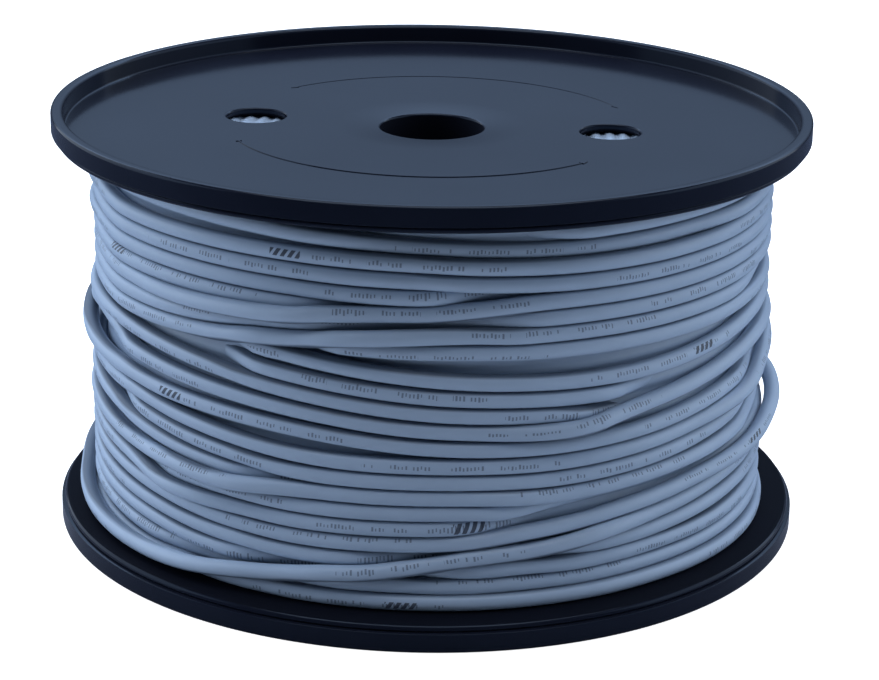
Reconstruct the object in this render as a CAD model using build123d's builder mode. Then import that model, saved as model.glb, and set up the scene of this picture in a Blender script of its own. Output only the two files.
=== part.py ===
"""Plastic cable spool, standing on its lower flange and wound full with single-core cable.

Millimetres, +Z up along the spool's axis, origin at the centre of the lower flange's rest plane.
The spool is two mouldings. Each has a dished flange with a rim, half of the barrel that the cable is
wound on and half of the hub tube round the bore. The barrel halves plug together at mid height.
"""

import os

from build123d import *

os.makedirs("parts", exist_ok=True)

# Spool, overall
flange_diameter = 160
spool_height = 90
bore_diameter = 22
barrel_diameter = 60

# Walls of the mouldings
barrel_wall = 3
hub_wall = 2
web_thickness = 1.6
rim_wall = 2.6
rib_thickness = 1.8
rib_count = 4

# Flange: the web lies below the rim's end plane, and the rim is an upright band with a bead behind it
web_recess = 3.9
rim_edge_chamfer = 0.7
rim_band_share = 0.62
bead_inset = 0.7
bead_step_rise = 0.25
bead_lean = 0.9

# Sunk ring round the bore, and the pair of drive holes outside the barrel
bore_sink = 0.5
bore_sink_width = 4
drive_hole_diameter = 12.8
drive_hole_count = 2
drive_hole_to_barrel = 1.4

# Plug joint of the two barrel halves
joint_clearance = 0.15
spigot_length = 8

# Cable and its winding
cable_diameter = 3.4
winding_below_edge = 7
winding_clearance = 0.3
turn_spacing_share = 1.7
turn_depth_share = 0.5
# how far each open turn of the top layer stands out, as shares of the cable's diameter
lay_shares = (-0.15, 0.05, 0.10, 0.15, 0.45, 0.30, 0.10, 0.40, 0.30, 0.05, 0.10, 0.00, 0.05, -0.10)

# Radii and heights that follow
flange_radius = flange_diameter / 2
bore_radius = bore_diameter / 2
hub_radius = bore_radius + hub_wall
barrel_radius = barrel_diameter / 2
barrel_inner_radius = barrel_radius - barrel_wall
middle = spool_height / 2
flange_depth = web_recess + web_thickness
rim_inner_radius = flange_radius - rim_wall
sink_radius = bore_radius + bore_sink_width
bead_radius = flange_radius - bead_inset
face_edge_radius = bead_radius - bead_lean
drive_hole_radius = drive_hole_diameter / 2
drive_hole_circle = barrel_radius + drive_hole_to_barrel + drive_hole_radius

spigot_radius = barrel_radius - barrel_wall / 2
socket_radius = spigot_radius + joint_clearance
socket_depth = spigot_length + joint_clearance
rib_height = middle - socket_depth - flange_depth
rib_inner = bore_radius + hub_wall / 2
rib_outer = barrel_radius - barrel_wall / 2


# One end of the spool up to mid height: flange, half barrel and half hub, turned from one section
with BuildPart() as spool_end:
    with BuildSketch(Plane.XZ):
        with BuildLine():
            band = rim_band_share * flange_depth
            Polyline(
                (bore_radius, middle),
                (bore_radius, web_recess + bore_sink),
                (sink_radius, web_recess),
                (rim_inner_radius, web_recess),
                (rim_inner_radius, 0),
                (flange_radius - rim_edge_chamfer, 0),
                (flange_radius, rim_edge_chamfer),
                (flange_radius, band),
                (bead_radius, band + bead_step_rise),
                (face_edge_radius, flange_depth),
                (barrel_radius, flange_depth),
                (barrel_radius, middle),
                (barrel_inner_radius, middle),
                (barrel_inner_radius, flange_depth),
                (hub_radius, flange_depth),
                (hub_radius, middle),
                close=True,
            )
        make_face()
    revolve(axis=Axis.Z)

    # radial ribs between hub and barrel, clear of the spigot of the other half
    with BuildSketch(Plane.XY.offset(flange_depth)):
        with PolarLocations((rib_inner + rib_outer) / 2, rib_count):
            Rectangle(rib_outer - rib_inner, rib_thickness)
    extrude(amount=rib_height)

    # drive holes through the web
    with Locations(Plane.XY.offset(web_recess)):
        with PolarLocations(drive_hole_circle, drive_hole_count):
            Hole(drive_hole_radius, depth=flange_depth)


# Lower half: the barrel ends in a spigot
with BuildPart() as lower_spool_half:
    add(spool_end.part)
    with BuildSketch(Plane.XY.offset(middle)):
        Circle(spigot_radius)
        Circle(barrel_inner_radius, mode=Mode.SUBTRACT)
    extrude(amount=spigot_length)

lower_spool_half.part.label = "lower_spool_half"
export_step(lower_spool_half.part, "parts/lower_spool_half.step")


# Upper half: the same end turned over, its barrel bored out as the socket
with BuildPart() as upper_spool_half:
    mirror(spool_end.part, about=Plane.XY.offset(middle))
    with BuildSketch(Plane.XY.offset(middle)):
        Circle(socket_radius)
        Circle(barrel_inner_radius, mode=Mode.SUBTRACT)
    extrude(amount=socket_depth, mode=Mode.SUBTRACT)

upper_spool_half.part.label = "upper_spool_half"
export_step(upper_spool_half.part, "parts/upper_spool_half.step")


# Wound cable: one ring that fills the barrel, its outside ridged by the open turns of the top layer
winding_radius = flange_radius - winding_below_edge
winding_inner_radius = barrel_radius + winding_clearance
winding_bottom = flange_depth
winding_height = spool_height - flange_depth - winding_clearance - winding_bottom
turn_gaps = int(winding_height // (turn_spacing_share * cable_diameter))
turn_pitch = winding_height / turn_gaps
turn_depth = turn_depth_share * cable_diameter

crests = [
    winding_radius + lay_shares[turn % len(lay_shares)] * cable_diameter for turn in range(turn_gaps + 1)
]
turn_outline = [(crests[0], winding_bottom)]
for turn in range(turn_gaps):
    lower_crest, upper_crest = crests[turn], crests[turn + 1]
    valley = min(lower_crest, upper_crest) - turn_depth
    turn_outline.append((valley, winding_bottom + (turn + 1 / 2) * turn_pitch))
    turn_outline.append((upper_crest, winding_bottom + (turn + 1) * turn_pitch))

with BuildPart() as wound_cable:
    with BuildSketch(Plane.XZ):
        with BuildLine():
            Polyline(
                (winding_inner_radius, winding_bottom),
                *turn_outline,
                (winding_inner_radius, winding_bottom + winding_height),
                close=True,
            )
        make_face()
    revolve(axis=Axis.Z)

wound_cable.part.label = "wound_cable"
export_step(wound_cable.part, "parts/wound_cable.step")
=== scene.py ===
# Spool of electrical cable: two moulded spool halves, the inner winding and the last turns laid by hand
import math

import bmesh
import bpy
import numpy as np
from mathutils import Matrix, Vector


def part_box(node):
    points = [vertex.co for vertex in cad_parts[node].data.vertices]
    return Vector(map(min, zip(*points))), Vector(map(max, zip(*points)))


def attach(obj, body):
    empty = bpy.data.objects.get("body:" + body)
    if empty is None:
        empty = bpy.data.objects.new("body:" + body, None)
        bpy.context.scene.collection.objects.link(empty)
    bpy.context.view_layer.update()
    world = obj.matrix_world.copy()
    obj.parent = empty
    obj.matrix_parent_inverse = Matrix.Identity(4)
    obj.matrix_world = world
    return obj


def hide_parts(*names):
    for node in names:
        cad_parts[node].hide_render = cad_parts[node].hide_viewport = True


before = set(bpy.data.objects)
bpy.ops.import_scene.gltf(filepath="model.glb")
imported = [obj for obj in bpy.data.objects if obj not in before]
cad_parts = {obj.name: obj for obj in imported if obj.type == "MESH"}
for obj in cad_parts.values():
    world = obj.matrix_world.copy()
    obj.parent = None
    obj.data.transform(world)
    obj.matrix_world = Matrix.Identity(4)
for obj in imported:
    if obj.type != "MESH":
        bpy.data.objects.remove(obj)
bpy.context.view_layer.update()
mm = 0.001

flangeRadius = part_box("lower_spool_half")[1].x
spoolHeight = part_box("upper_spool_half")[1].z
cableRadius = 1.7 * mm
viewTurn = 7.2  # middle of the view, in degrees about Z from -Y
sharpAngle = 35  # edges that turn by more degrees stay sharp
print("frame loaded, flange radius", round(flangeRadius, 4), "height", round(spoolHeight, 4))


# Shader sockets as values: an expression on them adds Math nodes
class Value:
    def __init__(self, finish, socket):
        self.finish = finish
        self.socket = socket

    def calc(self, operation, *inputs):
        return self.finish.node("ShaderNodeMath", {"operation": operation}, inputs)

    def __add__(self, other):
        return self.calc("ADD", self, other)

    def __sub__(self, other):
        return self.calc("SUBTRACT", self, other)

    def __rsub__(self, other):
        return self.calc("SUBTRACT", other, self)

    def __mul__(self, other):
        return self.calc("MULTIPLY", self, other)

    def __truediv__(self, other):
        return self.calc("DIVIDE", self, other)

    def __rtruediv__(self, other):
        return self.calc("DIVIDE", other, self)

    def __mod__(self, other):
        return self.calc("FLOORED_MODULO", self, other)

    def __lt__(self, other):
        return self.calc("LESS_THAN", self, other)

    def __gt__(self, other):
        return self.calc("GREATER_THAN", self, other)

    def __abs__(self):
        return self.calc("ABSOLUTE", self)

    def floor(self):
        return self.calc("FLOOR", self)

    __radd__ = __add__
    __rmul__ = __mul__


# One material and its nodes
class Finish:
    def __init__(self, name):
        self.material = bpy.data.materials.new(name)
        self.material.use_nodes = True
        self.tree = self.material.node_tree
        self.tree.nodes.clear()

    # settings first, then the sockets by name or in order; the result is one output
    def node(self, kind, settings=None, inputs=(), output=0):
        made = self.tree.nodes.new(kind)
        for key, setting in (settings or {}).items():
            setattr(made, key, setting)
        pairs = inputs.items() if isinstance(inputs, dict) else enumerate(inputs)
        for key, given in pairs:
            if isinstance(given, Value):
                self.tree.links.new(given.socket, made.inputs[key])
            else:
                made.inputs[key].default_value = given
        return Value(self, made.outputs[output]) if made.outputs else made

    def place(self):
        return self.node("ShaderNodeTexCoord", output="Object")

    def attribute(self, name):
        return self.node("ShaderNodeAttribute", {"attribute_name": name}, output="Fac")

    def upward(self):
        return self.node("ShaderNodeSeparateXYZ", None, {"Vector": self.place()}, output="Z")

    def noise(self, vector, scale, detail):
        sockets = {"Vector": vector, "Scale": scale, "Detail": detail}
        return self.node("ShaderNodeTexNoise", None, sockets)

    def chance(self, cell):
        return self.node("ShaderNodeTexWhiteNoise", {"noise_dimensions": "1D"}, {"W": cell})

    def bump(self, height, distance):
        sockets = {"Strength": 1, "Distance": distance, "Height": height}
        return self.node("ShaderNodeBump", None, sockets)

    def mix(self, factor, first, second):
        sockets = {"Factor": factor, 6: first, 7: second}
        return self.node("ShaderNodeMix", {"data_type": "RGBA"}, sockets, output=2)

    def shader(self, inputs):
        return self.node("ShaderNodeBsdfPrincipled", None, inputs)

    def surface(self, shader):
        self.node("ShaderNodeOutputMaterial", None, {"Surface": shader})
        return self.material


# Navy-black moulded plastic with a fine grain and a little handling haze
plastic = {
    "colour": (0.0050, 0.0065, 0.0130, 1),
    "hazeColour": (0.0095, 0.0120, 0.0220, 1),
    "roughness": 0.10,
    "roughnessSpread": 0.08,
    "gloss": 0.20,
    "tint": (0.60, 0.78, 1.0, 1),
    # the faces towards the cable are dull, from this far inside the end planes, and their colour is
    # darker there as painted shade between the flanges
    "dullShadedColour": (0.0035, 0.0042, 0.0075, 1),
    "dullRoughness": 0.6,
    "dullGloss": 0.04,
    "dullFrom": 5.42 * mm,
    "hazeScale": 34,
    "hazeDetail": 5,
    "grainScale": 2600,
    "grainDetail": 2,
    "grainHeight": 0.004 * mm,
}


def makeSpoolPlastic(look):
    finish = Finish("spoolPlastic")
    place = finish.place()
    haze = finish.noise(place, look["hazeScale"], look["hazeDetail"])
    grain = finish.noise(place, look["grainScale"], look["grainDetail"])
    bump = finish.bump(grain, look["grainHeight"])
    between = abs(finish.upward() - spoolHeight / 2) < spoolHeight / 2 - look["dullFrom"]
    polished = finish.shader({
        "Base Color": finish.mix(haze, look["colour"], look["hazeColour"]),
        "Roughness": look["roughness"] + haze * look["roughnessSpread"],
        "Specular IOR Level": look["gloss"],
        "Specular Tint": look["tint"],
        "Normal": bump,
    })
    # painted shade: the faces between the flanges take a darker colour as well as less gloss
    dull = finish.shader({
        "Base Color": finish.mix(haze, look["dullShadedColour"], look["colour"]),
        "Roughness": look["dullRoughness"] + haze * look["roughnessSpread"],
        "Specular IOR Level": look["dullGloss"],
        "Normal": bump,
    })
    return finish.surface(finish.node("ShaderNodeMixShader", None, (between, polished, dull)))


# Blue-grey insulation; the print is only rows of plain bars, in runs along the cable
insulation = {
    "colour": (0.281, 0.362, 0.484, 1),
    "paleColour": (0.325, 0.414, 0.547, 1),
    "inkColour": (0.022, 0.028, 0.046, 1),
    # painted shade: the sides, where turns lie close together, are darker, standing in for the shade
    # between the turns: shares of the radius, up or down
    "sideShadeColour": (0.085, 0.115, 0.165, 1),
    "sideShadeFrom": 0.76,
    "sideShadeTo": 1.03,
    "roughness": 0.36,
    "roughnessSpread": 0.1,
    "mottleScale": 60,
    "mottleDetail": 3,
    "grainScale": 2200,
    "grainDetail": 2,
    "grainHeight": 0.008 * mm,
    # light rows: thin strokes in words
    "runLength": 97 * mm,
    "runShare": 0.40,
    "wordLength": 10.5 * mm,
    "wordShare": 0.72,
    "strokePitch": 0.72 * mm,
    "strokeShare": 0.46,
    "strokeHeight": 0.62 * mm,
    "strokeInk": 0.58,
    # strokes differ by chance in width, in height and in place across the row, and some are missing
    "leastWidth": 0.6,
    "widthSpread": 0.6,
    "leastHeight": 0.45,
    "heightSpread": 0.4,
    "placeSpread": 0.6,
    "missingShare": 0.14,
    # heavy marks: a few thick leaning strokes
    "markEvery": 743.5 * mm,
    "markStart": 522 * mm,
    "markLength": 6.2 * mm,
    "markPitch": 1.5 * mm,
    "markShare": 0.58,
    "markHeight": 0.85 * mm,
    "markLean": 0.55,
    "markInk": 0.88,
    # where the rows lie round the cable and how far they wander, in radians, and how often along it
    "printAngle": 0.25,
    "printSwing": 4.4,
    "swingScale": 2.1,
    "swingDetail": 1,
}


# strokes across the cable, in rows along it; the row wanders round as the cable twists
def printInk(finish, look):
    along = finish.attribute("along")
    around = finish.attribute("around")
    line = finish.node("ShaderNodeCombineXYZ", None, {"X": along})
    drift = finish.noise(line, look["swingScale"], look["swingDetail"])
    across = (around - look["printAngle"] - (drift - 0.5) * look["printSwing"]) * cableRadius
    cell = (along / look["strokePitch"]).floor()
    chance = finish.chance(cell)
    uneven = finish.chance(cell + 0.5)
    width = look["leastWidth"] + chance * look["widthSpread"]
    stroke = along % look["strokePitch"] < look["strokePitch"] * look["strokeShare"] * width
    centred = across + (uneven - 0.5) * (look["strokeHeight"] * look["placeSpread"])
    tall = abs(centred) < look["strokeHeight"] * (look["leastHeight"] + chance * look["heightSpread"])
    there = chance > look["missingShare"]
    inRun = along % look["runLength"] < look["runLength"] * look["runShare"]
    inWord = along % look["wordLength"] < look["wordLength"] * look["wordShare"]
    light = stroke * tall * inRun * inWord * there * look["strokeInk"]
    leaning = along - across * look["markLean"]
    mark = leaning % look["markPitch"] < look["markPitch"] * look["markShare"]
    inMark = (along + look["markStart"]) % look["markEvery"] < look["markLength"]
    heavy = mark * inMark * (abs(across) < look["markHeight"]) * look["markInk"]
    return light + heavy * (1 - light)


def makeInsulation(look, name, printed):
    finish = Finish(name)
    place = finish.place()
    mottle = finish.noise(place, look["mottleScale"], look["mottleDetail"])
    grain = finish.noise(place, look["grainScale"], look["grainDetail"])
    colour = finish.mix(mottle, look["colour"], look["paleColour"])
    if printed:
        # painted shade: the cable's colour darkens towards its top and bottom sides, where the shade
        # between turns falls
        side = (finish.attribute("aside") - look["sideShadeFrom"]) / (look["sideShadeTo"] - look["sideShadeFrom"])
        colour = finish.mix(side, colour, look["sideShadeColour"])
        colour = finish.mix(printInk(finish, look), colour, look["inkColour"])
    return finish.surface(finish.shader({
        "Base Color": colour,
        "Roughness": look["roughness"] + mottle * look["roughnessSpread"],
        "Normal": finish.bump(grain, look["grainHeight"]),
    }))


# One moulded half: a turned section, four ribs inside, two drive holes through the web
spool = {
    "boreRadius": 11 * mm,
    "hubRadius": 13 * mm,
    "barrelRadius": 30 * mm,
    "barrelInside": 27 * mm,
    "spigotRadius": 28.5 * mm,
    "socketRadius": 28.65 * mm,
    "spigotLength": 8 * mm,
    "socketDepth": 8.15 * mm,
    # the web sinks a little from the rim to the bore, with a soft hollow round the bore
    "webRecess": 3.9 * mm,
    "webThickness": 1.6 * mm,
    "webDish": 0.7 * mm,
    "boreSink": 0.4 * mm,
    "boreSinkWidth": 6.5 * mm,
    # the rim is an upright band, a fine groove and a rounded bead
    "rimWall": 2.6 * mm,
    "edgeChamfer": 0.4 * mm,
    "bandHeight": 4.05 * mm,
    "beadInset": 0.7 * mm,
    "grooveDepth": 0.45 * mm,
    "grooveWidth": 0.42 * mm,
    # roundings of the section's corners, from the bore out to the rim and back along the barrel
    "boreRounding": 0.5 * mm,
    "sinkRounding": 3 * mm,
    "webRounding": 0.5 * mm,
    "rimRounding": 0.8 * mm,
    "edgeTopRounding": 0.26 * mm,
    "edgeSideRounding": 0.22 * mm,
    "bandRounding": 0.12 * mm,
    "grooveRounding": 0.1 * mm,
    "beadStepRounding": 0.2 * mm,
    "beadRounding": 0.85 * mm,
    "barrelRounding": 0.6 * mm,
    "spigotRounding": 0.4 * mm,
    "spigotInsideRounding": 0.3 * mm,
    "holeRadius": 6.4 * mm,
    "holeCircle": 37.8 * mm,
    "holeFlare": 0.5 * mm,
    "holeSteps": 64,
    "flareSteps": 6,
    "ribCount": 4,
    "ribThickness": 1.8 * mm,
    "ribStart": 0.8,  # share of the web's thickness
    "spinSteps": 192,
}


def newPiece(name, mesh, material, slot, *nodes):
    piece = bpy.data.objects.new(name, mesh)
    bpy.context.scene.collection.objects.link(piece)
    mesh.materials.clear()
    mesh.materials.append(material)
    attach(piece, "root")
    if nodes:
        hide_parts(*nodes)
    print(name, "faces", len(mesh.polygons))
    return piece


# a chain of (radius, height) points, each rounded by its own amount, turned about the axis
def turnSection(points, steps, closed=True, roundSegments=4, weldDistance=1e-7):
    bm = bmesh.new()
    chain = [bm.verts.new((radius, 0, height)) for radius, height, rounding in points]
    for first, second in zip(chain, chain[1:] + chain[:1] if closed else chain[1:]):
        bm.edges.new((first, second))
    rounds = {}
    for vert, point in zip(chain, points):
        rounds.setdefault(point[2], []).append(vert)
    for rounding, verts in rounds.items():
        if rounding:
            bmesh.ops.bevel(bm, geom=verts, offset=rounding, segments=roundSegments, profile=0.5,
                            affect="VERTICES", material=-1)
    section = bm.verts[:] + bm.edges[:]
    bmesh.ops.spin(bm, geom=section, cent=(0, 0, 0), axis=(0, 0, 1), dvec=(0, 0, 0),
                   angle=2 * math.pi, steps=steps, use_merge=True)
    bmesh.ops.remove_doubles(bm, verts=bm.verts, dist=weldDistance)
    bmesh.ops.recalc_face_normals(bm, faces=bm.faces)
    return bm


def shadeSmooth(mesh, angle=sharpAngle):
    mesh.shade_smooth()
    mesh.set_sharp_from_angle(angle=math.radians(angle))


def toMesh(bm, name, angle=sharpAngle):
    mesh = bpy.data.meshes.new(name)
    bm.to_mesh(mesh)
    bm.free()
    shadeSmooth(mesh, angle)
    return mesh


# joins or cuts a mesh with tools, and gives back the finished mesh
def withBooleans(mesh, tools):
    holder = bpy.data.objects.new("holder", mesh)
    bpy.context.scene.collection.objects.link(holder)
    toolObjects = []
    for operation, bm in tools:
        tool = bpy.data.objects.new("tool", toMesh(bm, "tool"))
        bpy.context.scene.collection.objects.link(tool)
        toolObjects.append(tool)
        step = holder.modifiers.new(operation, "BOOLEAN")
        step.operation = operation
        step.solver = "EXACT"
        step.object = tool
    graph = bpy.context.evaluated_depsgraph_get()
    done = bpy.data.meshes.new_from_object(holder.evaluated_get(graph))
    for used in toolObjects + [holder]:
        bpy.data.objects.remove(used)
    return done


# how deep the dished web lies at a radius
def webDepth(size, radius):
    inward = (flangeRadius - radius) / (flangeRadius - size["boreRadius"])
    return size["webRecess"] + size["webDish"] * inward


# cuts a hole through the web, its edges rounded out on both faces
def driveHoleTool(size, side):
    low = webDepth(size, size["holeCircle"])
    high = low + size["webThickness"]
    reach = size["holeRadius"] + size["holeFlare"]
    past = size["webThickness"]
    points = [(0, low - past, 0), (reach, low - past, 0), (reach, low, 0)]
    corners = [(low + size["holeFlare"], -90), (high - size["holeFlare"], 0)]
    for height, start in corners:
        for step in range(1, size["flareSteps"] + 1):
            turn = math.radians(start + 90 * step / size["flareSteps"])
            offset = size["holeFlare"] * math.cos(turn)
            points.append((reach - offset, height + size["holeFlare"] * math.sin(turn), 0))
    points += [(reach, high + past, 0), (0, high + past, 0)]
    bm = turnSection(points, size["holeSteps"], closed=False)
    bmesh.ops.translate(bm, verts=bm.verts, vec=(side * size["holeCircle"], 0, 0))
    return bm


def ribTool(size, turn):
    inner = (size["boreRadius"] + size["hubRadius"]) / 2
    outer = (size["barrelInside"] + size["barrelRadius"]) / 2
    low = size["webRecess"] + size["webDish"] + size["webThickness"] * size["ribStart"]
    high = spoolHeight / 2 - size["socketDepth"]
    bm = bmesh.new()
    bmesh.ops.create_cube(bm, size=1)
    bmesh.ops.scale(bm, verts=bm.verts, vec=(outer - inner, size["ribThickness"], high - low))
    bmesh.ops.translate(bm, verts=bm.verts, vec=((inner + outer) / 2, 0, (low + high) / 2))
    bmesh.ops.rotate(bm, verts=bm.verts, cent=(0, 0, 0), matrix=Matrix.Rotation(turn, 3, "Z"))
    return bm


def makeSpoolHalf(name, node, size, upper):
    middle = spoolHeight / 2
    web = size["webRecess"]
    under = web + size["webThickness"]
    dish = size["webDish"]
    rimInside = flangeRadius - size["rimWall"]
    sinkRadius = size["boreRadius"] + size["boreSinkWidth"]
    band = size["bandHeight"]
    beadRadius = flangeRadius - size["beadInset"]
    if upper:
        plug = [
            (size["socketRadius"], middle, 0),
            (size["socketRadius"], middle - size["socketDepth"], 0),
            (size["barrelInside"], middle - size["socketDepth"], 0),
        ]
    else:
        plug = [
            (size["spigotRadius"], middle, 0),
            (size["spigotRadius"], middle + size["spigotLength"], size["spigotRounding"]),
            (size["barrelInside"], middle + size["spigotLength"], size["spigotInsideRounding"]),
        ]
    points = [
        (size["boreRadius"], middle, 0),
        (size["boreRadius"], web + dish + size["boreSink"], size["boreRounding"]),
        (sinkRadius, web + dish, size["sinkRounding"]),
        (rimInside, web, size["webRounding"]),
        (rimInside, 0, size["rimRounding"]),
        (flangeRadius - size["edgeChamfer"], 0, size["edgeTopRounding"]),
        (flangeRadius, size["edgeChamfer"], size["edgeSideRounding"]),
        (flangeRadius, band, size["bandRounding"]),
        (beadRadius - size["grooveDepth"], band + size["grooveWidth"] / 2, size["grooveRounding"]),
        (beadRadius, band + size["grooveWidth"], size["beadStepRounding"]),
        (beadRadius, under, size["beadRounding"]),
        (size["barrelRadius"], under + dish, size["barrelRounding"]),
        (size["barrelRadius"], middle, 0),
        *plug,
        (size["barrelInside"], under + dish, size["barrelRounding"]),
        (size["hubRadius"], under + dish, size["barrelRounding"]),
        (size["hubRadius"], middle, 0),
    ]
    mesh = toMesh(turnSection(points, size["spinSteps"]), name)
    ribTurns = [2 * math.pi * k / size["ribCount"] for k in range(size["ribCount"])]
    ribs = [("UNION", ribTool(size, turn)) for turn in ribTurns]
    holes = [("DIFFERENCE", driveHoleTool(size, side)) for side in (-1, 1)]
    mesh = withBooleans(mesh, ribs + holes)
    if upper:
        mesh.transform(Matrix.Translation((0, 0, spoolHeight)) @ Matrix.Rotation(math.pi, 4, "X"))
    shadeSmooth(mesh)
    piece = newPiece(name, mesh, spoolPlastic, "spool_plastic", node)
    weighted = piece.modifiers.new("flatFaces", "WEIGHTED_NORMAL")
    weighted.keep_sharp = True


# Fine raised lines on the upper web, part of a circle each, with an arrow head at both ends
directionLines = {
    "circle": 43.4 * mm,
    "width": 0.5 * mm,
    "sunk": 0.15 * mm,
    # first and last angle, from the middle of the view, and rise
    "spans": ((-66, 44, 0.12 * mm), (114, 224, 0.05 * mm)),
    "headLength": 1.8 * mm,
    "headWidth": 1.3 * mm,
    "topShare": 0.55,  # width of the top against that of the foot
    "degreesPerStep": 2,
}


def makeDirectionLines(line, size):
    web = spoolHeight - webDepth(size, line["circle"])
    low = web - line["sunk"]
    half = line["width"] / 2
    topHalf = half * line["topShare"]
    turned = math.radians(viewTurn - 90)
    bm = bmesh.new()
    for first, last, rise in line["spans"]:
        high = web + rise
        corners = [(-half, low), (half, low), (topHalf, high), (-topHalf, high)]
        profile = [bm.verts.new((line["circle"] + across, 0, height)) for across, height in corners]
        face = bm.faces.new(profile)
        bmesh.ops.rotate(bm, verts=profile, cent=(0, 0, 0),
                         matrix=Matrix.Rotation(turned + math.radians(first), 3, "Z"))
        steps = round((last - first) / line["degreesPerStep"])
        bmesh.ops.spin(bm, geom=[face, *face.edges, *profile], cent=(0, 0, 0), axis=(0, 0, 1),
                       angle=math.radians(last - first), steps=steps, use_duplicate=False)
        for angle, way in ((first, -1), (last, 1)):
            across = line["headWidth"] / 2
            tip = way * line["headLength"]
            outline = [(line["circle"] - across, 0), (line["circle"] + across, 0), (line["circle"], tip)]
            base = [bm.verts.new((x, y, low)) for x, y in outline]
            head = bm.faces.new(base)
            raised = bmesh.ops.extrude_face_region(bm, geom=[head])["geom"]
            top = [item for item in raised if isinstance(item, bmesh.types.BMVert)]
            bmesh.ops.translate(bm, verts=top, vec=(0, 0, high - low))
            bmesh.ops.rotate(bm, verts=base + top, cent=(0, 0, 0),
                             matrix=Matrix.Rotation(turned + math.radians(angle), 3, "Z"))
    bmesh.ops.recalc_face_normals(bm, faces=bm.faces)
    newPiece("direction_lines", toMesh(bm, "direction_lines"), spoolPlastic, "spool_plastic")


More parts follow.
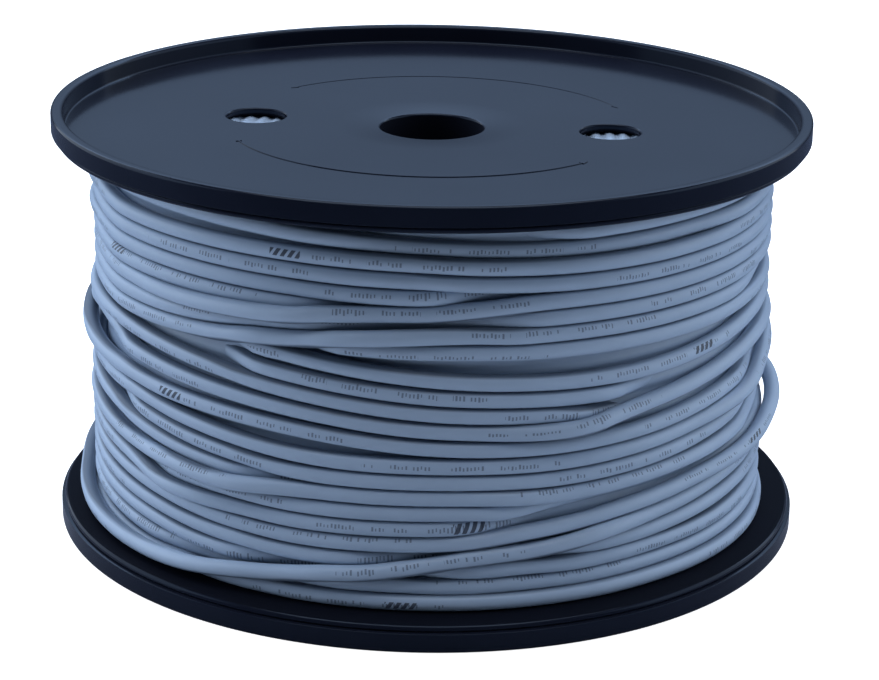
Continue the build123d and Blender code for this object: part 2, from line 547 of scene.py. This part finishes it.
# The last turns of the winding, as they lie in the photo's view
windingCable = {
    "floorRadius": 69.2 * mm,
    "lowLimit": 5.6 * mm,
    "highLimit": 84.2 * mm,
    "stepsPerTurn": 180,
    "sides": 5,
    # settling: tension pulls over these steps along the cable, stiffness evens its height over those
    "sweeps": 160,
    "tensionSpans": (1, 3),
    "tensionShare": 0.3,
    "stiffSpans": (1, 4, 9),
    "stiffShare": 0.25,
    "pushes": 4,
    "pushShare": 0.4,
    # the given heights hold in view, and let go this many right angles from its middle
    "holdShare": 0.35,
    "holdReach": 1.4,
    # steps over which lines are eased, degrees over which a turn sinks, widths at which it lies deep
    "givenEase": 7,
    "lastEase": 2,
    "sinkFade": 12,
    "deepWidths": 1.2,
    # both ends of the cable run inwards, over so many steps and widths
    "tuckSteps": 8,
    "tuckWidths": 2,
    # the view from above shows the turns' edges this much higher than they lie
    "seenAbove": 0.8 * mm,
    # angle from the middle of the view, in degrees, where the heights below are given
    "stations": (-100, -80, -60, -40, -20, 0, 20, 40, 60, 80, 100),
    # heights of each turn's middle line, in millimetres, in the order of winding
    "turnHeights": (
        (8.6, 8.6, 8.6, 8.7, 8.0, 7.6, 7.7, 7.6, 7.4, 7.3, 7.3),
        (12.2, 12.2, 11.4, 10.3, 10.6, 11.2, 11.7, 10.8, 9.8, 9.5, 9.5),
        (16.0, 16.0, 15.0, 13.2, 13.2, 14.0, 14.9, 14.0, 12.8, 13.5, 13.5),
        (19.5, 19.5, 17.2, 16.3, 15.6, 15.8, 16.5, 17.5, 18.5, 19.0, 19.0),
        (27.0, 27.0, 26.0, 26.0, 25.9, 26.4, 26.4, 26.5, 27.0, 28.0, 28.0),
        (28.0, 28.0, 25.3, 23.9, 22.8, 23.7, 24.3, 25.5, 26.0, 28.0, 28.0),
        (38.0, 38.5, 38.5, 34.0, 32.4, 32.7, 31.9, 33.0, 34.5, 37.0, 38.0),
        (36.5, 36.0, 35.2, 31.2, 30.0, 30.0, 30.0, 31.5, 33.0, 34.0, 34.0),
        (52.8, 53.3, 54.0, 52.1, 49.8, 46.8, 45.4, 42.3, 42.0, 46.0, 46.0),
        (59.0, 59.0, 57.0, 54.5, 52.4, 50.1, 48.8, 48.0, 48.0, 51.0, 51.0),
        (63.0, 63.0, 62.5, 60.0, 56.5, 53.7, 51.9, 51.4, 53.0, 55.0, 55.5),
        (61.0, 61.0, 60.5, 60.0, 60.6, 60.2, 59.8, 58.5, 58.2, 58.4, 58.6),
        (66.8, 66.8, 66.6, 67.6, 67.5, 67.5, 67.3, 66.8, 66.0, 65.5, 65.5),
        (70.2, 70.2, 69.8, 70.5, 70.5, 70.5, 70.6, 70.0, 69.0, 68.5, 68.5),
        (79.8, 79.8, 79.6, 79.8, 80.4, 81.6, 82.4, 82.4, 82.0, 82.0, 82.0),
        (82.4, 82.4, 82.4, 82.4, 81.8, 79.2, 78.4, 78.2, 77.8, 78.4, 78.4),
        (73.6, 73.6, 72.8, 73.7, 74.1, 73.7, 72.3, 71.9, 71.5, 71.8, 71.8),
        (77.0, 77.0, 76.3, 77.2, 77.5, 77.0, 75.4, 74.2, 74.4, 75.2, 75.2),
        (57.2, 57.2, 58.4, 57.2, 61.3, 62.9, 62.9, 62.1, 61.7, 61.8, 61.9),
        (60.4, 60.4, 60.6, 60.8, 64.6, 64.9, 65.3, 65.3, 65.0, 65.2, 65.2),
        (63.6, 63.6, 63.4, 64.6, 66.3, 67.2, 68.7, 68.7, 68.2, 68.4, 68.4),
        (48.4, 49.3, 48.6, 47.4, 46.0, 43.1, 42.7, 45.0, 47.4, 48.4, 50.0),
        (54.0, 41.2, 42.4, 43.0, 42.3, 39.7, 38.7, 39.2, 40.5, 42.0, 45.0),
        (42.0, 41.0, 40.2, 38.6, 36.0, 36.1, 34.8, 35.8, 39.2, 43.0, 47.5),
        (28.8, 28.8, 27.7, 28.6, 29.2, 29.5, 28.9, 29.8, 30.0, 32.0, 35.0),
        (24.0, 24.0, 22.0, 20.4, 19.0, 20.6, 22.0, 24.4, 25.0, 27.2, 38.5),
        (12.5, 8.2, 7.3, 8.2, 12.2, 15.9, 18.1, 20.9, 23.4, 24.5, 24.5),
    ),
    # stretches where a turn lies under its neighbours: which turn, from and to what angle, by what share
    "sunkTurns": (
        (1, -50, -15, 0.6), (2, -32, 8, 1), (3, -12, 28, 0.8), (4, -150, -45, 1),
        (4, 12, 150, 1), (5, 5, 150, 1), (6, -150, -54, 1), (7, -32, 150, 1), (8, 25, 150, 1.5),
        (9, -150, -28, 2), (9, 30, 150, 1.5), (10, -150, -28, 2), (11, -150, -15, 2),
        (12, -20, 150, 1.5), (13, 0, 150, 1.5), (14, -180, 24, 2), (19, -18, 18, 0.8),
        (12, -150, -60, 0.3), (13, -150, -60, 0.3), (16, -150, -60, 0.3), (17, -150, -60, 0.3),
        (19, -150, -60, 0.3), (20, -150, -60, 0.3), (18, -150, -60, 0.3), (21, -84, -58, 1.3),
        (15, -20, 60, 0.5), (18, 60, 150, 0.5), (6, 60, 150, 0.5), (24, 64, 150, 0.5),
        (22, 62, 150, 0.6),
    ),
    # turns that stand off loosely: which turn, at what angle, over what spread, out to what radius
    "looseTurns": (
        (0, 30, 95, 72.1), (22, -88, 21, 72.8), (21, 86, 14, 71.8), (23, 88, 14, 71.4),
        (25, 86, 21, 74.7),
        (15, -92, 14, 72.2), (17, -92, 14, 71.4), (13, -92, 14, 71.0), (24, -92, 16, 71.4),
        (21, -125, 15, 74.8), (18, -160, 14, 74.6),
    ),
}


def smoothed(line, reach):
    window = np.hanning(2 * reach + 1)
    padded = np.concatenate([np.full(reach, line[0]), line, np.full(reach, line[-1])])
    return np.convolve(padded, window / window.sum(), mode="valid")


# values some steps before and after each place along the cable
def neighbours(line, span):
    before = np.concatenate([line[:span], line[:-span]])
    after = np.concatenate([line[span:], line[-span:]])
    return before, after


# how far in each turn may lie, by angle
def turnFloors(lay, count, seen):
    floor = np.full((count, len(seen)), lay["floorRadius"] + cableRadius)
    for turn, start, end, share in lay["sunkTurns"]:
        fadeIn = np.clip((seen - start) / lay["sinkFade"], 0, 1)
        fadeOut = np.clip((end - seen) / lay["sinkFade"], 0, 1)
        floor[turn] -= share * 2 * cableRadius * (fadeIn * fadeOut)
    for turn, angle, spread, reach in lay["looseTurns"]:
        bulge = np.exp(-((seen - angle) / spread) ** 2)
        floor[turn] += bulge * (reach * mm - floor[turn])
    return floor


# lays each turn on those before it, then lets tension, contact and the flanges settle them all
def layTurns(lay):
    steps = lay["stepsPerTurn"]
    count = len(lay["turnHeights"])
    width = 2 * cableRadius
    low = lay["lowLimit"] + cableRadius
    high = lay["highLimit"] - cableRadius
    step = 2 * math.pi / steps
    travel = np.arange(count * steps) * 360 / steps
    seen = np.arange(steps) * 360 / steps - 180
    knots = [360 * turn + 180 + station for turn in range(count) for station in lay["stations"]]
    given = np.interp(travel, knots, np.ravel(lay["turnHeights"]) * mm)
    drawn = smoothed(given, lay["givenEase"]).reshape(count, steps)
    wanted = np.clip(drawn - lay["seenAbove"] * np.clip(np.cos(np.radians(seen)), 0, 1), low, high)
    facing = np.clip(lay["holdReach"] - np.abs(seen) / 90, 0, 1)
    floor = turnFloors(lay, count, seen)

    height = wanted.copy()
    radius = floor.copy()
    shallow = floor > lay["floorRadius"] + cableRadius - lay["deepWidths"] * width
    for turn in range(count):
        for under in range(turn):
            gap = np.abs(height[turn] - height[under])
            over = radius[under] + np.sqrt(np.clip(width ** 2 - gap ** 2, 0, None))
            meets = (gap < width) & shallow[turn]
            radius[turn] = np.where(meets, np.maximum(radius[turn], over), radius[turn])

    for sweep in range(lay["sweeps"]):
        line = radius.ravel()
        for span in lay["tensionSpans"]:
            before, after = neighbours(line, span)
            chord = 2 * before * after * math.cos(span * step) / (before + after)
            line = line + lay["tensionShare"] * (chord - line)
        radius = line.reshape(count, steps)
        level = height.ravel()
        for span in lay["stiffSpans"]:
            before, after = neighbours(level, span)
            level = level + lay["stiffShare"] * ((before + after) / 2 - level)
        height = level.reshape(count, steps)
        height = height + lay["holdShare"] * facing * (wanted - height)
        for push in range(lay["pushes"]):
            apartR = radius[:, None] - radius[None]
            apartZ = height[:, None] - height[None]
            distance = np.sqrt(apartR ** 2 + apartZ ** 2) + np.eye(count)[:, :, None]
            inside = np.clip(width - distance, 0, None) / distance
            radius = np.maximum(radius + lay["pushShare"] * (inside * apartR).sum(1), floor)
            height = np.clip(height + lay["pushShare"] * (inside * apartZ).sum(1), low, high)

    direction = math.radians(viewTurn - 90 - 180) + np.radians(travel)
    fromEnd = np.minimum(np.arange(count * steps), np.arange(count * steps)[::-1])
    tuck = np.clip(fromEnd / lay["tuckSteps"], 0, 1)
    outward = smoothed(radius.ravel(), lay["lastEase"]) - (1 - tuck) * lay["tuckWidths"] * width
    upward = smoothed(height.ravel(), lay["lastEase"])
    print("turns laid", count, "radius", outward.min().round(4), outward.max().round(4))
    return np.stack([outward * np.cos(direction), outward * np.sin(direction), upward], 1)


def makeOuterTurns(lay):
    path = layTurns(lay)
    curve = bpy.data.curves.new("outerPath", "CURVE")
    curve.dimensions = "3D"
    curve.bevel_depth = cableRadius
    curve.bevel_resolution = lay["sides"]
    curve.use_fill_caps = True
    curve.twist_mode = "Z_UP"
    spline = curve.splines.new("POLY")
    spline.points.add(len(path) - 1)
    weighted = np.concatenate([path, np.ones((len(path), 1))], 1)
    spline.points.foreach_set("co", weighted.ravel())
    holder = bpy.data.objects.new("holder", curve)
    bpy.context.scene.collection.objects.link(holder)
    graph = bpy.context.evaluated_depsgraph_get()
    mesh = bpy.data.meshes.new_from_object(holder.evaluated_get(graph))
    bpy.data.objects.remove(holder)
    bpy.data.curves.remove(curve)

    # where each vertex lies along, around and to the side of the cable, for its material
    corners = np.zeros(len(mesh.vertices) * 3)
    mesh.vertices.foreach_get("co", corners)
    corners = corners.reshape(-1, 3)
    ring = len(corners) // len(path)
    middle = np.repeat(path, ring, 0)
    length = np.concatenate([[0], np.cumsum(np.linalg.norm(np.diff(path, axis=0), axis=1))])
    offset = corners[:len(middle)] - middle
    away = middle[:, :2] / np.linalg.norm(middle[:, :2], axis=1)[:, None]
    around = np.arctan2(offset[:, 2], (offset[:, :2] * away).sum(1))
    aside = np.abs(offset[:, 2]) / cableRadius
    for name, values in (("along", np.repeat(length, ring)), ("around", around), ("aside", aside)):
        layer = mesh.attributes.new(name, "FLOAT", "POINT")
        layer.data.foreach_set("value", np.resize(values, len(corners)).astype(np.float32))
    mesh.shade_smooth()
    print("cable in the outer turns", round(length[-1], 2), "m")
    newPiece("outer_turns", mesh, printedInsulation, "cable_insulation", "wound_cable")


# The neat layers underneath, scalloped by the turns on the side and on both ends
innerWinding = {
    "insideRadius": 30.3 * mm,
    "sidePitch": 3.3 * mm,
    "endPitch": 3.0 * mm,
    "scallopSteps": 5,
    "spinSteps": 160,
    "sharpAngle": 60,
    # the side's turns rise and fall in two waves that lean with the height
    "waveHeight": 0.5 * mm,
    "firstLean": 5,
    "secondLean": 7,
    "secondShare": 0.6,
    # the ends draw in by this much at the barrel, where the webs are dished
    "dish": 0.6 * mm,
}


# places along a row of turns, each with how far the surface dips there
def scallops(start, end, count, radius, steps):
    pitch = (end - start) / count
    found = []
    for turn in range(count):
        for step in range(steps):
            across = ((step + 0.5) / steps - 0.5) * pitch
            dip = math.sqrt(radius ** 2 - across ** 2) - radius
            found.append((start + (turn + 0.5) * pitch + across, dip))
    return found


def makeInnerTurns(size, lay):
    side = lay["floorRadius"]
    bottom = lay["lowLimit"]
    top = lay["highLimit"]
    steps = size["scallopSteps"]
    endCount = round((side - size["insideRadius"]) / size["endPitch"])
    sideCount = round((top - bottom) / size["sidePitch"])
    ends = scallops(size["insideRadius"], side, endCount, cableRadius, steps)
    sides = scallops(bottom, top, sideCount, cableRadius, steps)
    points = [(radius, bottom - dip, 0) for radius, dip in ends]
    points += [(side + dip, height, 0) for height, dip in sides]
    points += [(radius, top + dip, 0) for radius, dip in reversed(ends)]
    bm = turnSection(points, size["spinSteps"])
    middle = (bottom + top) / 2
    for vert in bm.verts:
        out = math.hypot(vert.co.x, vert.co.y)
        dished = 1 - size["dish"] / (top - bottom) * 2 * (side - out) / (side - size["insideRadius"])
        vert.co.z = middle + (vert.co.z - middle) * dished
        turn = math.atan2(vert.co.y, vert.co.x)
        share = (vert.co.z - bottom) / (top - bottom)
        wave = math.sin(turn + size["firstLean"] * share)
        wave += size["secondShare"] * math.sin(2 * turn - size["secondLean"] * share)
        vert.co.z += size["waveHeight"] * wave * 4 * share * (1 - share)
    mesh = toMesh(bm, "inner_turns", size["sharpAngle"])
    newPiece("inner_turns", mesh, plainInsulation, "cable_insulation")


# Floor, lights and camera
stage = {
    "floorSize": 8,
    "floorColour": (0.66, 0.67, 0.69, 1),
    "floorPale": (0.70, 0.71, 0.73, 1),
    "floorGlow": 0.90,
    "floorRoughness": 0.8,
    "speckleScale": 40,
    "speckleDetail": 2,
    # painted reflection: in the gloss the floor is lighter close to the spool, a painted pool of light,
    # and dim from nearTo on
    "floorInGloss": (0.036, 0.049, 0.086, 1),
    "nearInGloss": (0.20, 0.22, 0.29, 1),
    "nearFrom": 0.10,
    "nearTo": 0.20,
    "worldColour": (0.70, 0.84, 1.06, 1),
    "worldStrength": 0.024,
    # the card behind the object, brighter towards its top, lights the web
    "cardPlace": 1.05,
    "cardWidth": 1.8,
    "cardLow": 0.10,
    "cardHigh": 0.95,
    "cardColour": (0.58, 0.82, 1.22, 1),
    "cardDim": 0.14,
    "cardBright": 2.8,
    "focal": 2679.83,
    "frameWidth": 879,
    "sensor": 36,
    "cameraPlace": (0.06924, -0.54807, 0.22452),
    "cameraYaw": viewTurn - 0.243,
    "cameraPitch": 18.73,
    "cameraRoll": 0.951,
    # name, place, aim, width, height, watts, colour, seen in gloss
    "softboxes": (
        ("leftBox", (-1.00, 0.22, 0.50), (0, 0, 0.04), 1.6, 1.0, 5.6, (0.80, 0.95, 1.15), True),
        ("leftFill", (-1.00, 0.22, 0.48), (0, 0, 0.04), 1.6, 1.0, 12.6, (0.86, 0.96, 1.10), False),
        ("rightBox", (1.00, 0.30, 0.50), (0, 0, 0.04), 1.6, 1.0, 4.8, (0.80, 0.95, 1.15), True),
        ("rightFill", (1.00, 0.30, 0.48), (0, 0, 0.04), 1.6, 1.0, 7.0, (0.86, 0.96, 1.10), False),
        ("topBox", (0.0, -0.05, 1.1), (0, -0.05, 0.05), 1.0, 1.0, 8.5, (0.93, 0.98, 1.06), True),
    ),
}


# the floor lights the object from below, shows pale to the camera and stays dim in its gloss
def makeFloor(look):
    finish = Finish("paleFloor")
    place = finish.place()
    speckle = finish.noise(place, look["speckleScale"], look["speckleDetail"])
    seen = finish.node("ShaderNodeLightPath", output="Is Camera Ray")
    inGloss = finish.node("ShaderNodeLightPath", output="Is Glossy Ray")
    pale = finish.mix(speckle, look["floorColour"], look["floorPale"])
    apart = finish.node("ShaderNodeVectorMath", {"operation": "LENGTH"}, (place,), output="Value")
    # painted reflection: what the spool mirrors of the floor is a painted pool of light near it, dim
    # further off
    far = (apart - look["nearFrom"]) / (look["nearTo"] - look["nearFrom"])
    mirrored = finish.mix(far, look["nearInGloss"], look["floorInGloss"])
    material = finish.surface(finish.shader({
        "Base Color": finish.mix(inGloss, pale, mirrored),
        "Roughness": look["floorRoughness"],
        "Emission Color": finish.mix(seen, (0, 0, 0, 1), (1, 1, 1, 1)),
        "Emission Strength": look["floorGlow"],
    }))
    bm = bmesh.new()
    bmesh.ops.create_grid(bm, x_segments=8, y_segments=8, size=look["floorSize"] / 2)
    floor = bpy.data.objects.new("floor", toMesh(bm, "floor"))
    floor.data.materials.append(material)
    bpy.context.scene.collection.objects.link(floor)


# a card behind the object, out of the camera's sight, whose light fades towards the floor
def makeCard(look):
    finish = Finish("lightCard")
    share = (finish.upward() - look["cardLow"]) / (look["cardHigh"] - look["cardLow"])
    glows = []
    for strength in (look["cardDim"], look["cardBright"]):
        sockets = {"Color": look["cardColour"], "Strength": strength}
        glows.append(finish.node("ShaderNodeEmission", None, sockets))
    material = finish.surface(finish.node("ShaderNodeMixShader", None, (share * share, *glows)))
    bm = bmesh.new()
    bmesh.ops.create_grid(bm, x_segments=2, y_segments=8, size=0.5)
    height = look["cardHigh"] - look["cardLow"]
    bmesh.ops.scale(bm, verts=bm.verts, vec=(look["cardWidth"], height, 1))
    bmesh.ops.rotate(bm, verts=bm.verts, cent=(0, 0, 0), matrix=Matrix.Rotation(math.pi / 2, 3, "X"))
    middle = (look["cardLow"] + look["cardHigh"]) / 2
    bmesh.ops.translate(bm, verts=bm.verts, vec=(0, look["cardPlace"], middle))
    card = bpy.data.objects.new("light_card", toMesh(bm, "light_card"))
    card.data.materials.append(material)
    card.visible_camera = False
    bpy.context.scene.collection.objects.link(card)


def makeLights(look):
    world = bpy.data.worlds.new("studio")
    world.use_nodes = True
    background = world.node_tree.nodes["Background"]
    background.inputs["Color"].default_value = look["worldColour"]
    background.inputs["Strength"].default_value = look["worldStrength"]
    bpy.context.scene.world = world
    for name, place, aim, width, height, watts, colour, inGloss in look["softboxes"]:
        light = bpy.data.lights.new(name, "AREA")
        light.shape = "RECTANGLE"
        light.size = width
        light.size_y = height
        light.energy = watts
        light.color = colour
        lamp = bpy.data.objects.new(name, light)
        lamp.location = place
        lamp.visible_glossy = inGloss
        lamp.rotation_euler = (Vector(aim) - Vector(place)).to_track_quat("-Z", "Y").to_euler()
        bpy.context.scene.collection.objects.link(lamp)


def makeCamera(look):
    data = bpy.data.cameras.new("camera")
    data.sensor_width = look["sensor"]
    data.lens = look["focal"] * look["sensor"] / look["frameWidth"]
    camera = bpy.data.objects.new("camera", data)
    aim = Matrix.Rotation(math.radians(look["cameraYaw"]), 4, "Z")
    aim = aim @ Matrix.Rotation(math.radians(90 - look["cameraPitch"]), 4, "X")
    aim = aim @ Matrix.Rotation(math.radians(look["cameraRoll"]), 4, "Z")
    camera.matrix_world = Matrix.Translation(look["cameraPlace"]) @ aim
    bpy.context.scene.collection.objects.link(camera)
    bpy.context.scene.camera = camera


spoolPlastic = makeSpoolPlastic(plastic)
printedInsulation = makeInsulation(insulation, "printedInsulation", True)
plainInsulation = makeInsulation(insulation, "plainInsulation", False)
print("materials made")

makeSpoolHalf("lower_moulding", "lower_spool_half", spool, False)
makeSpoolHalf("upper_moulding", "upper_spool_half", spool, True)
makeDirectionLines(directionLines, spool)
makeInnerTurns(innerWinding, windingCable)
makeOuterTurns(windingCable)

makeFloor(stage)
makeCard(stage)
makeLights(stage)
makeCamera(stage)
bpy.context.scene.view_settings.view_transform = "Standard"
print("stage set")
